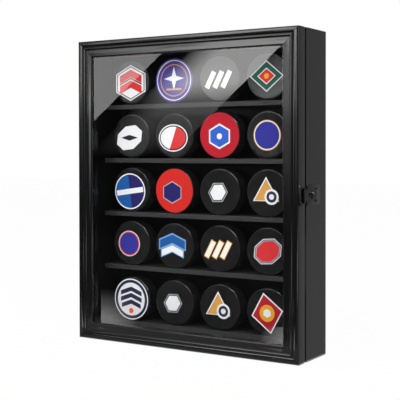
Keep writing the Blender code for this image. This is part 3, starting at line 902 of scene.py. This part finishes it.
class PUCKCASE_OT_prints(bpy.types.Operator):
    """Lay the printed emblems on the pucks' faces, one thin layer of ink on another"""

    bl_idname = "puckcase.prints"
    bl_label = "Prints"

    def execute(self, context):
        layer = context.scene.puckcase_puck.ink_thickness
        inks = {name: ink(f"Ink, {name.title()}", srgb(*value)) for name, value in INKS.items()}
        made = {}
        for row, designs in zip(ROWS, LAYOUT):
            for column, design in zip(COLUMNS, designs):
                low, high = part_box(f"puck_r{row}_c{column}")
                name = f"print_r{row}_c{column}"
                if design in made:
                    model, place = made[design]
                    piece = copy_of(model, name)
                    piece.parent = None
                    piece.matrix_world = Matrix.Translation(low - place)
                else:
                    middle = Vector(((low.x + high.x) / 2, low.y, (low.z + high.z) / 2))
                    piece = self.emblem(name, DESIGNS[design], middle, layer, inks)
                    made[design] = (piece, low)
                finish_piece(piece, "case")
        return {"FINISHED"}

    def emblem(self, name, marks, middle, layer, inks):
        """Draw one emblem on the face in front of a puck's middle."""
        pieces = []
        thickness = layer
        for shape, across, up, turn, *layers in marks:
            for ink_name, width, height in layers:
                size = (width * MILLIMETRE, height * MILLIMETRE)
                for part in self.mark(shape, size, turn, thickness):
                    part.data.materials.append(inks[ink_name])
                    part.rotation_euler = (math.pi / 2, 0, 0)
                    part.location = middle + Vector((across, 0, up)) * MILLIMETRE
                    apply_place(part)
                    outward(part)
                    pieces.append(part)
                thickness += layer
        return join(pieces, name)

    def mark(self, shape, size, turn, thickness):
        """Give a mark's parts, drawn flat about the origin, their faces at the layer's height."""
        if shape == "chevron":
            return [self.chevron_arm(size, turn, side, thickness) for side in (-1, 1)]
        if shape == "bar":
            piece = self.bar(size, turn)
        elif shape == "half":
            piece = self.flat(ROUND, size)
            outside = Matrix.Rotation(math.radians(turn), 3, "Z") @ Vector((-1, 0, 0))
            slice_off(piece, (0, 0, 0), outside)
        else:
            piece = self.flat(shape, size, turn=turn)
        return [self.thicken(piece, thickness)]

    def flat(self, sides, size, first_turn=0, turn=0):
        """Give a filled polygon, turned, stretched to a size and turned again."""
        bpy.ops.mesh.primitive_circle_add(vertices=sides, radius=0.5, fill_type="NGON")
        piece = bpy.context.object
        edit(piece, action="SELECT")
        self.turn(first_turn)
        bpy.ops.transform.resize(value=(size[0], size[1], 1), center_override=(0, 0, 0))
        self.turn(turn)
        return close(piece)

    def turn(self, degrees):
        """Turn what is selected about the origin; with no window the operator turns the other way."""
        if degrees:
            bpy.ops.transform.rotate(
                value=-math.radians(degrees), orient_axis="Z", center_override=(0, 0, 0),
            )

    def bar(self, size, turn):
        """Give a filled oblong."""
        return self.flat(4, (size[0] * math.sqrt(2), size[1] * math.sqrt(2)), 45, turn)

    def chevron_arm(self, size, slope, side, thickness):
        """Give one slanting arm of a chevron, cut upright at its middle and its end."""
        width, height = size
        # The arm is longer than it has to be, so that both cuts go through it
        piece = self.bar((width * 1.4, height), -side * slope)
        piece.location = (0, width / 4 * math.tan(math.radians(slope)), 0)
        apply_place(piece)
        slice_off(piece, (0, 0, 0), Vector((-side, 0, 0)))
        slice_off(piece, (side * width / 2, 0, 0), Vector((side, 0, 0)))
        return self.thicken(piece, thickness)

    def thicken(self, piece, thickness):
        """Extrude a flat mark into a thin layer."""
        edit(piece, "FACE", "SELECT")
        extrude((0, 0, thickness))
        return close(piece)


# Latch and hinges

# The steps of a screw's domed head: how far in each goes, and how far up, in shares of the head
DOME = ((0.86, 0.30), (0.72, 0.17), (0.55, 0.10))
HEAD_RIM = 0.4


def ease_edges(piece, width):
    """Bevel the sharp edges of a metal part."""
    return modify(
        piece, "BEVEL", width=width, segments=2, limit_method="ANGLE",
        angle_limit=math.radians(40), harden_normals=False,
    )


def screw_head(radius, height, recess):
    """Give a domed screw head along +X with a cross recess, its underside at the origin."""
    rim = height * HEAD_RIM

    def top(face, middle):
        return middle.z > rim - SAME

    bpy.ops.mesh.primitive_cylinder_add(
        vertices=32, radius=radius, depth=rim, location=(0, 0, rim / 2),
    )
    piece = new_piece("screw")
    edit(piece, "FACE")
    select(piece, top, "FACE")
    for shrink, rise in DOME:
        extrude((0, 0, height * rise))
        bpy.ops.transform.resize(value=(shrink, shrink, 1))
    close(piece)
    tools = []
    for turn in (45, 135):
        arm = radius * 1.05
        bpy.ops.mesh.primitive_cube_add(
            size=1, location=(0, 0, height), scale=(arm, arm * 0.22, recess * 2),
            rotation=(0, 0, math.radians(turn)),
        )
        tools.append(new_piece("recess"))
    cut(piece, tools)
    piece.rotation_euler = (0, math.pi / 2, 0)
    apply_place(piece)
    outward(piece)
    return smooth(piece, 35)


class PUCKCASE_OT_latch(bpy.types.Operator):
    """Model the hasp latch: plate, hasp, pin, keeper with its staple, and their screws"""

    bl_idname = "puckcase.latch"
    bl_label = "Latch"

    def execute(self, context):
        settings = context.scene.puckcase_latch
        metal = material_named("Blackened Metal")
        joint = next(joint for joint in frame["joints"] if joint["child"] == "latch_hasp")
        self.axis = Vector(joint["pos_m"])
        for step in (self.plate, self.hasp, self.pin, self.keeper, self.screws):
            step(settings, metal)
        return {"FINISHED"}

    def bore(self, radius, low, high):
        """Give the tool that bores a knuckle for the pin."""
        return rod("bore", radius / 2, low - radius, high + radius, self.axis)

    def knuckle(self, radius, low, high):
        """Give a bored knuckle round the latch's axis."""
        return cut(rod("knuckle", radius, low, high, self.axis), [self.bore(radius, low, high)])

    def complete(self, piece, node, body, metal):
        """Shade a part of the latch and put it in its node's place."""
        outward(piece)
        smooth(piece, 35)
        piece.name = piece.data.name = f"{node}_dressed"
        finish_piece(piece, body, metal, (node,))

    def plate(self, s, metal):
        """Cut the door's plate round the two outer knuckles and weld them to it."""
        axis = self.axis
        low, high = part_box("latch_plate")
        radius = high.x - axis.x
        reach = s.knuckles / 2
        inner = s.knuckles / 6 + s.knuckle_space / 2
        near = axis.y - radius - s.barrel_space
        piece = slab("plate", low, (low.x + s.plate_thickness, axis.y, high.z), s.corner)
        cut(piece, [
            slab("notch", (low.x - reach, near, bottom), (high.x, high.y + reach, top))
            for bottom, top in (
                (low.z - reach, axis.z - reach), (axis.z + reach, high.z + reach),
                (axis.z - inner, axis.z + inner),
            )
        ])
        for start, end in ((axis.z - reach, axis.z - inner), (axis.z + inner, axis.z + reach)):
            knuckle = self.knuckle(radius, start, end)
            cut(piece, [self.bore(radius, start, end)])
            cut(piece, [knuckle], "UNION")
        ease_edges(piece, s.easing)
        self.complete(piece, "latch_plate", "door", metal)

    def hasp(self, s, metal):
        """Round the hasp's nose, cut its notches, slot and bore, and weld on its knuckle."""
        axis = self.axis
        low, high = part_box("latch_hasp")
        radius = high.x - axis.x
        inner = axis.x - s.hasp_depth
        half_knuckle = s.knuckles / 6 - s.knuckle_space / 2
        piece = slab("hasp", (inner, axis.y, low.z), (inner + s.sheet, high.y, high.z))

        def nose(edge, middle):
            first, second = ends(piece, edge)
            return middle.y > high.y - SAME and abs(first.x - second.x) > s.sheet / 2

        edit(piece, "EDGE")
        select(piece, nose, "EDGE")
        bpy.ops.mesh.bevel(offset=s.nose_round, segments=10, affect="EDGES")
        close(piece)
        clear = radius + s.barrel_space
        # How far the cutting tools reach past the hasp's ends and behind it
        outside, behind = 0.020, 0.002
        left, right, near, far = axis.x - clear, axis.x + clear, axis.y - clear, axis.y + clear
        tools = [
            slab("notch", (left, near, bottom), (right, far, top))
            for bottom, top in (
                (axis.z + half_knuckle, axis.z + outside), (axis.z - outside, axis.z - half_knuckle),
            )
        ]
        slot = axis.y + s.slot_reach
        half_width, half_height = s.slot_width / 2, s.slot_height / 2
        tools.append(slab(
            "slot", (inner - behind, slot - half_width, axis.z - half_height),
            (inner + behind * 2, slot + half_width, axis.z + half_height), s.slot_corner,
        ))
        tools.append(self.bore(radius, low.z, high.z))
        cut(piece, tools)
        knuckle = self.knuckle(radius, axis.z - half_knuckle, axis.z + half_knuckle)
        cut(piece, [knuckle], "UNION")
        ease_edges(piece, s.easing)
        self.complete(piece, "latch_hasp", "latch_hasp", metal)

    def pin(self, s, metal):
        """Weld a bevelled head to each end of the pin."""
        low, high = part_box("latch_pin")
        inside = s.pin_head / 2
        piece = rod("pin", s.pin, low.z + inside, high.z - inside, self.axis, 24)
        heads = [
            rod("head", (high.x - low.x) / 2, start, start + s.pin_head, self.axis, bevel=s.pin_bevel)
            for start in (low.z, high.z - s.pin_head)
        ]
        cut(piece, heads, "UNION")
        self.complete(piece, "latch_pin", "door", metal)

    def keeper(self, s, metal):
        """Set the staple into the keeper's plate."""
        low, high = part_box("latch_keeper")
        piece = slab("keeper", low, (low.x + s.sheet, high.y, high.z), s.corner)
        ease_edges(piece, s.easing)
        staple = self.staple(s, low.x + s.sheet / 2, high.x)
        self.complete(join([piece, staple], "keeper"), "latch_keeper", "case", metal)

    def staple(self, s, base, top):
        """Bend a wire into the loop that the hasp's slot goes over."""
        crown = top - s.loop - s.wire
        middle = Vector((crown, self.axis.y + s.slot_reach, self.axis.z))
        bpy.ops.mesh.primitive_circle_add(
            vertices=20, radius=s.wire, location=(base, middle.y, middle.z - s.loop),
            rotation=(0, math.pi / 2, 0), fill_type="NGON",
        )
        piece = new_piece("staple")
        edit(piece, "FACE", "SELECT")
        extrude((crown - base, 0, 0))
        bpy.ops.mesh.spin(steps=22, angle=math.pi, center=middle, axis=(0, 1, 0))
        extrude((base - crown, 0, 0))
        close(piece)
        if max(vert.co.x for vert in piece.data.vertices) < crown + s.loop / 2:
            raise RuntimeError("the staple's loop bends the wrong way")
        return piece

    def screws(self, s, metal):
        """Put a domed head on the shank of each of the four screws."""
        model = screw_head(s.screw, s.screw_rise, s.recess)
        half = Vector((0, s.shank, s.shank)) / 2
        for prefix, body in (("latch_plate_screw", "door"), ("latch_keeper_screw", "case")):
            for order, end in enumerate(("lower", "upper")):
                node = f"{prefix}_{end}"
                low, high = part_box(node)
                middle = (low + high) / 2
                under = Vector((high.x - s.screw_rise, middle.y, middle.z))
                head = copy_of(model, "head")
                head.rotation_euler = (math.radians(17 + 31 * order), 0, 0)
                head.location = under
                apply_place(head)
                tip = Vector((low.x, middle.y, middle.z))
                inside = Vector((under.x + OVERLAP, middle.y, middle.z))
                shank = slab("shank", tip - half, inside + half, s.shank_corner)
                piece = join([head, shank], f"{node}_dressed")
                finish_piece(piece, body, metal, (node,))
        bpy.data.objects.remove(model)


class PUCKCASE_OT_hinge_screws(bpy.types.Operator):
    """Set three screws in each leaf of the two door hinges"""

    bl_idname = "puckcase.hinge_screws"
    bl_label = "Hinge Screws"

    def execute(self, context):
        s = context.scene.puckcase_latch
        metal = material_named("Blackened Metal")
        model = screw_head(s.screw, s.hinge_screw_rise, s.hinge_recess)
        for end in ("lower", "upper"):
            pin_low, pin_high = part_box(f"hinge_{end}_pin")
            axis_y = (pin_low.y + pin_high.y) / 2
            for leaf, body, side in (("case_leaf", "case", 1), ("door_leaf", "door", -1)):
                low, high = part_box(f"hinge_{end}_{leaf}")
                under = Vector((high.x - s.hinge_leaf + OVERLAP, axis_y + side * s.hinge_reach, 0))
                pieces = []
                for order in range(3):
                    piece = copy_of(model, "screw")
                    under.z = (low.z + high.z) / 2 + s.hinge_pitch * (order - 1)
                    piece.rotation_euler = (math.radians(23 + 47 * order), 0, math.pi)
                    piece.location = under
                    pieces.append(apply_place(piece))
                piece = join(pieces, f"hinge_{end}_{leaf}_screws")
                finish_piece(piece, body, metal)
        bpy.data.objects.remove(model)
        return {"FINISHED"}


# Stage

def camera_axes():
    """Give the camera's right, up and forward directions."""
    yaw, pitch, roll = CAMERA_YAW, CAMERA_PITCH, CAMERA_ROLL
    forward = Vector((
        -math.sin(yaw) * math.cos(pitch), math.cos(yaw) * math.cos(pitch), -math.sin(pitch),
    ))
    right = Vector((math.cos(yaw), math.sin(yaw), 0))
    up = right.cross(forward)
    return (
        right * math.cos(roll) + up * math.sin(roll),
        up * math.cos(roll) - right * math.sin(roll),
        forward,
    )


def mirrored(pixel, depth=None, level=None):
    """Give the point that the glazing mirrors at a place in the picture: at a depth or on a level."""
    right, up, forward = camera_axes()
    ray = (
        forward + right * ((pixel[0] - OPTICAL_CENTRE[0]) / FOCAL_PIXELS)
        - up * ((pixel[1] - OPTICAL_CENTRE[1]) / FOCAL_PIXELS)
    )
    hit = CAMERA_PLACE + ray * ((GLAZING_FRONT - CAMERA_PLACE.y) / ray.y)
    back = Vector((ray.x, -ray.y, ray.z))
    if level is None:
        return hit + back * ((depth - GLAZING_FRONT) / back.y)
    return hit + back * ((level - hit.z) / back.z)


def rows(low, high, *marks):
    """Give a ramp's stops from levels at rows of the picture, between a panel's two ends."""
    return tuple(((low - pixel) / (low - high), level) for pixel, level in marks)


class PUCKCASE_OT_stage(bpy.types.Operator):
    """Set up the camera, floor, background, lights and the panels that the glazing mirrors"""

    bl_idname = "puckcase.stage"
    bl_label = "Stage"

    def execute(self, context):
        settings = context.scene.puckcase_stage
        self.camera(context)
        self.floor(settings)
        self.background(context, settings)
        self.lights(context, settings)
        self.room()
        self.windows()
        self.walls()
        context.scene.view_settings.view_transform = "Standard"
        return {"FINISHED"}

    def camera(self, context):
        """Set the camera where the photograph was taken from."""
        data = bpy.data.cameras.new("camera")
        data.sensor_width = SENSOR_WIDTH
        data.lens = FOCAL_PIXELS / IMAGE_SIZE * SENSOR_WIDTH
        data.shift_x = (IMAGE_SIZE / 2 - OPTICAL_CENTRE[0]) / IMAGE_SIZE
        data.shift_y = (OPTICAL_CENTRE[1] - IMAGE_SIZE / 2) / IMAGE_SIZE
        data.clip_start = 0.01
        item = bpy.data.objects.new("camera", data)
        context.scene.collection.objects.link(item)
        right, up, forward = camera_axes()
        turn = Matrix((right, up, -forward)).transposed()
        item.matrix_world = Matrix.Translation(CAMERA_PLACE) @ turn.to_4x4()
        context.scene.camera = item

    def floor(self, settings):
        """Lay a floor that shows as the background and keeps the case's shadow."""
        bpy.ops.mesh.primitive_plane_add(size=settings.floor_size, location=(0, 0, 0))
        item = bpy.context.object
        item.name = "floor"
        g = new_material("Studio Floor")
        matt = g.add("ShaderNodeBsdfDiffuse", {"Color": rgba(settings.floor)})
        glow = g.add("ShaderNodeEmission", {"Color": rgba(settings.background), "Strength": 1.0})
        level = g.calc("MULTIPLY", self.shown(g), settings.floor_glow)
        mixed = g.add("ShaderNodeMixShader", {0: level, 1: matt.outputs[0], 2: glow.outputs[0]})
        g.add("ShaderNodeOutputMaterial", {"Surface": mixed.outputs[0]})
        item.data.materials.append(g.owner)

    def shown(self, g):
        """Give 1 for what the camera sees, directly, mirrored or through glass."""
        path = g.add("ShaderNodeLightPath").outputs
        both = g.calc("MAXIMUM", path["Is Camera Ray"], path["Is Glossy Ray"])
        return g.calc("MAXIMUM", both, path["Is Transmission Ray"])

    def background(self, context, settings):
        """Surround the case with white, which lights it at a lower level."""
        world = bpy.data.worlds.new("Studio")
        context.scene.world = world
        g = Graph(world)
        tone = rgba(settings.background)
        seen = g.add("ShaderNodeBackground", {"Color": tone, "Strength": 1.0})
        soft = g.add("ShaderNodeBackground", {"Color": tone, "Strength": settings.sky_level})
        mixed = g.add("ShaderNodeMixShader", {0: self.shown(g), 1: soft.outputs[0], 2: seen.outputs[0]})
        g.add("ShaderNodeOutputWorld", {"Surface": mixed.outputs[0]})

    def lights(self, context, settings):
        """Hang two large soft lights, which gloss doesn't mirror."""
        for name, place, size, power in (
            ("key_light", (-0.7, -2.0, 1.7), 1.6, settings.key_power),
            ("fill_light", (1.5, -1.4, 1.2), 1.4, settings.key_power * 0.5),
        ):
            data = bpy.data.lights.new(name, "AREA")
            data.size = size
            data.energy = power
            item = bpy.data.objects.new(name, data)
            context.scene.collection.objects.link(item)
            aim = Vector((0, 0, 0.26)) - Vector(place)
            turn = aim.to_track_quat("-Z", "Y").to_matrix().to_4x4()
            item.matrix_world = Matrix.Translation(place) @ turn
            item.visible_glossy = False

    def panel(self, name, corners, strength, across=None, upward=None):
        """Hang a panel that only gloss sees. Its level may vary across it and up it."""
        bpy.ops.mesh.primitive_plane_add(size=1)
        item = bpy.context.object
        item.name = name
        for vert, corner in zip(item.data.vertices, corners):
            vert.co = corner
        g = new_material(name.replace("_", " ").title())
        level = strength
        for stops, part in zip((across, upward), g.axes("UV")):
            if stops:
                level = g.calc("MULTIPLY", g.ramp(part, stops), level)
        glow = g.add("ShaderNodeEmission", {"Color": (1, 1, 1, 1), "Strength": level})
        g.add("ShaderNodeOutputMaterial", {"Surface": glow.outputs[0]})
        item.data.materials.append(g.owner)
        for kind in ("camera", "diffuse", "shadow", "transmission", "volume_scatter"):
            setattr(item, f"visible_{kind}", False)

    def upright(self, name, start, end, strength, low=-0.4, high=CEILING, **shades):
        """Hang an upright panel along a line on the floor."""
        corners = ((*start, low), (*end, low), (*start, high), (*end, high))
        self.panel(name, corners, strength, **shades)

    def lying(self, name, start, end, level, strength, **shades):
        """Lay a level panel between two opposite corners."""
        corners = (
            (start[0], start[1], level), (end[0], start[1], level),
            (start[0], end[1], level), (end[0], end[1], level),
        )
        self.panel(name, corners, strength, **shades)

    def hang(self, name, pixels, strength, depth, **shades):
        """Hang a panel where the glazing mirrors it at four places in the picture."""
        self.panel(name, [mirrored(pixel, depth=depth) for pixel in pixels], strength, **shades)

    def room(self):
        """Hang a dark room round the case, with a bright ceiling in front and soft boxes."""
        near_corner = (3.2, ROOM_FRONT)
        right_corner = (ROOM_RIGHT, -0.6)
        far_corner = (-1.5, ROOM_REAR)
        self.upright("dark_room", (ROOM_LEFT, ROOM_FRONT), near_corner, 0.02)
        self.upright("left_side", (ROOM_LEFT, ROOM_REAR), (ROOM_LEFT, ROOM_FRONT), 0.10)
        self.upright("far_side", far_corner, (ROOM_LEFT, ROOM_REAR), 0.10)
        self.upright("right_side", near_corner, right_corner, 0.05)
        self.lying(
            "front_ceiling", (ROOM_LEFT, ROOM_FRONT), (ROOM_RIGHT, -0.3), CEILING, 1.4,
            across=((0.0, 0.05), (0.11, 0.08), (0.24, 0.7), (0.32, 1.0)),
        )
        self.lying("rear_ceiling", (ROOM_LEFT, -0.3), (ROOM_RIGHT, ROOM_REAR), CEILING, 0.08)
        self.lying(
            "dark_floor", (ROOM_LEFT, ROOM_FRONT), (0.23, -0.03), CARPET, 0.25,
            upward=((0.0, 0.12), (0.88, 0.12), (0.92, 1.0)),
        )
        self.lying("left_floor", (ROOM_LEFT, -0.03), (-0.25, ROOM_REAR), CARPET, 0.06)
        self.lying("right_floor", (0.2112, -0.6), (ROOM_RIGHT, ROOM_REAR), CARPET, 0.22)
        self.upright(
            "grey_wall", right_corner, far_corner, 0.24, low=-0.2, high=3.0,
            upward=((0.0, 1.0), (0.12, 0.8), (1.0, 0.7)),
        )
        # Soft boxes above on the right and at the side, which the pucks' edges and the beads mirror
        self.lying("high_box", (0.35, -1.5), (2.2, -0.2), 1.9, 14.0)
        self.upright(
            "side_box", (3.0, -1.4), (3.0, -0.2), 1.8, low=0.0, high=1.9,
            upward=((0.0, 0.05), (0.25, 0.2), (0.45, 1.0)),
        )

    def windows(self):
        """Hang the windows and the bright patches on the floor that the glazing mirrors."""
        near = ROOM_FRONT + 0.01
        corner = (94.0, 121.0)
        self.hang("left_window", (corner, corner, (93.4, 36), (179, 36)), 2.1, near)
        # The right window's two sides slant: along each, column and row add up to one number
        low, high = 162, 30
        self.hang(
            "right_window", [(total - row, row) for row in (low, high) for total in (240, 326.5)],
            3.5, near + 0.01, across=((0.0, 0.0), (0.37, 1.0), (1.0, 1.0)),
            upward=rows(
                low, high, (156, 0.0), (138, 0.06), (114, 0.12), (96, 0.3), (88, 0.6), (78, 1.0),
            ),
        )
        for name, pixels, shades in (
            ("left_patch", ((101, 327), (140, 327), (101, 288), (128, 288)), {
                "across": ((0.0, 1.0), (0.35, 0.75), (1.0, 0.0)),
                "upward": ((0.0, 1.0), (0.25, 0.9), (0.5, 0.4), (0.8, 0.1), (1.0, 0.0)),
            }),
            ("right_patch", ((254, 345), (284, 350), (264, 327), (284, 327)), {
                "across": ((0.0, 0.0), (0.45, 0.35), (1.0, 1.0)),
                "upward": ((0.0, 1.0), (0.6, 0.9), (1.0, 0.5)),
            }),
        ):
            corners = [mirrored(pixel, level=CARPET * 2) for pixel in pixels]
            self.panel(name, corners, 2.2, **shades)

    def walls(self):
        """Hang the brighter walls beside the windows, which only the frame mirrors."""
        near = ROOM_FRONT + 0.03
        self.hang(
            "high_wall", ((84, 54), (300, 38), (84, -180), (300, -180)), 3.6, near,
            across=((0.0, 0.12), (0.1, 0.25), (0.35, 0.6), (0.6, 0.95), (0.75, 1.0)),
        )
        low, high = 230, 38
        self.hang(
            "right_wall", ((282.5, low), (410, low), (282.5, high), (410, high)), 2.6, near + 0.01,
            across=((0.0, 1.0), (0.09, 1.0), (0.16, 0.5), (1.0, 0.7)),
            upward=rows(
                low, high, (230, 0.01), (205, 0.03), (176, 0.12), (160, 0.22), (120, 0.30),
                (98, 0.75), (38, 1.0),
            ),
        )
        self.hang(
            "left_wall", ((-78, low), (58, low), (-78, high), (58, high)), 2.9, near + 0.02,
            upward=rows(
                low, high, (230, 0.01), (200, 0.05), (176, 0.14), (150, 0.34), (114, 0.45),
                (98, 1.0), (70, 0.5), (38, 0.2),
            ),
        )


# Panel and registration

class PUCKCASE_PT_case(bpy.types.Panel):
    """Lists the steps that make the case"""

    bl_label = "Puck Case"
    bl_idname = "PUCKCASE_PT_case"
    bl_space_type = "VIEW_3D"
    bl_region_type = "UI"
    bl_category = "Puck Case"

    def draw(self, context):
        layout = self.layout
        for title, owner, step in STEPS:
            box = layout.box()
            box.label(text=title)
            settings = getattr(context.scene, owner)
            for key in settings.bl_rna.properties.keys():
                if key not in ("rna_type", "name"):
                    box.prop(settings, key)
            box.operator(step)


STEPS = (
    ("Finishes", "puckcase_finish", "puckcase.finishes"),
    ("Door frame", "puckcase_moulding", "puckcase.door_frame"),
    ("Pucks", "puckcase_puck", "puckcase.pucks"),
    ("Prints", "puckcase_puck", "puckcase.prints"),
    ("Latch", "puckcase_latch", "puckcase.latch"),
    ("Hinge screws", "puckcase_latch", "puckcase.hinge_screws"),
    ("Stage", "puckcase_stage", "puckcase.stage"),
)
SETTINGS = (
    ("puckcase_finish", FinishSettings),
    ("puckcase_moulding", MouldingSettings),
    ("puckcase_puck", PuckSettings),
    ("puckcase_latch", LatchSettings),
    ("puckcase_stage", StageSettings),
)
CLASSES = (
    MouldingSettings, PuckSettings, LatchSettings, FinishSettings, StageSettings,
    PUCKCASE_OT_finishes, PUCKCASE_OT_door_frame, PUCKCASE_OT_pucks, PUCKCASE_OT_prints,
    PUCKCASE_OT_latch, PUCKCASE_OT_hinge_screws, PUCKCASE_OT_stage, PUCKCASE_PT_case,
)


def register():
    for item in CLASSES:
        bpy.utils.register_class(item)
    for name, group in SETTINGS:
        setattr(bpy.types.Scene, name, PointerProperty(type=group))


def unregister():
    for name, group in SETTINGS:
        delattr(bpy.types.Scene, name)
    for item in reversed(CLASSES):
        bpy.utils.unregister_class(item)


def main():
    register()
    bpy.ops.puckcase.finishes()
    bpy.ops.puckcase.door_frame()
    bpy.ops.puckcase.pucks()
    bpy.ops.puckcase.prints()
    bpy.ops.puckcase.latch()
    bpy.ops.puckcase.hinge_screws()
    bpy.ops.puckcase.stage()
    deselect()


if __name__ == "__main__":
    main()
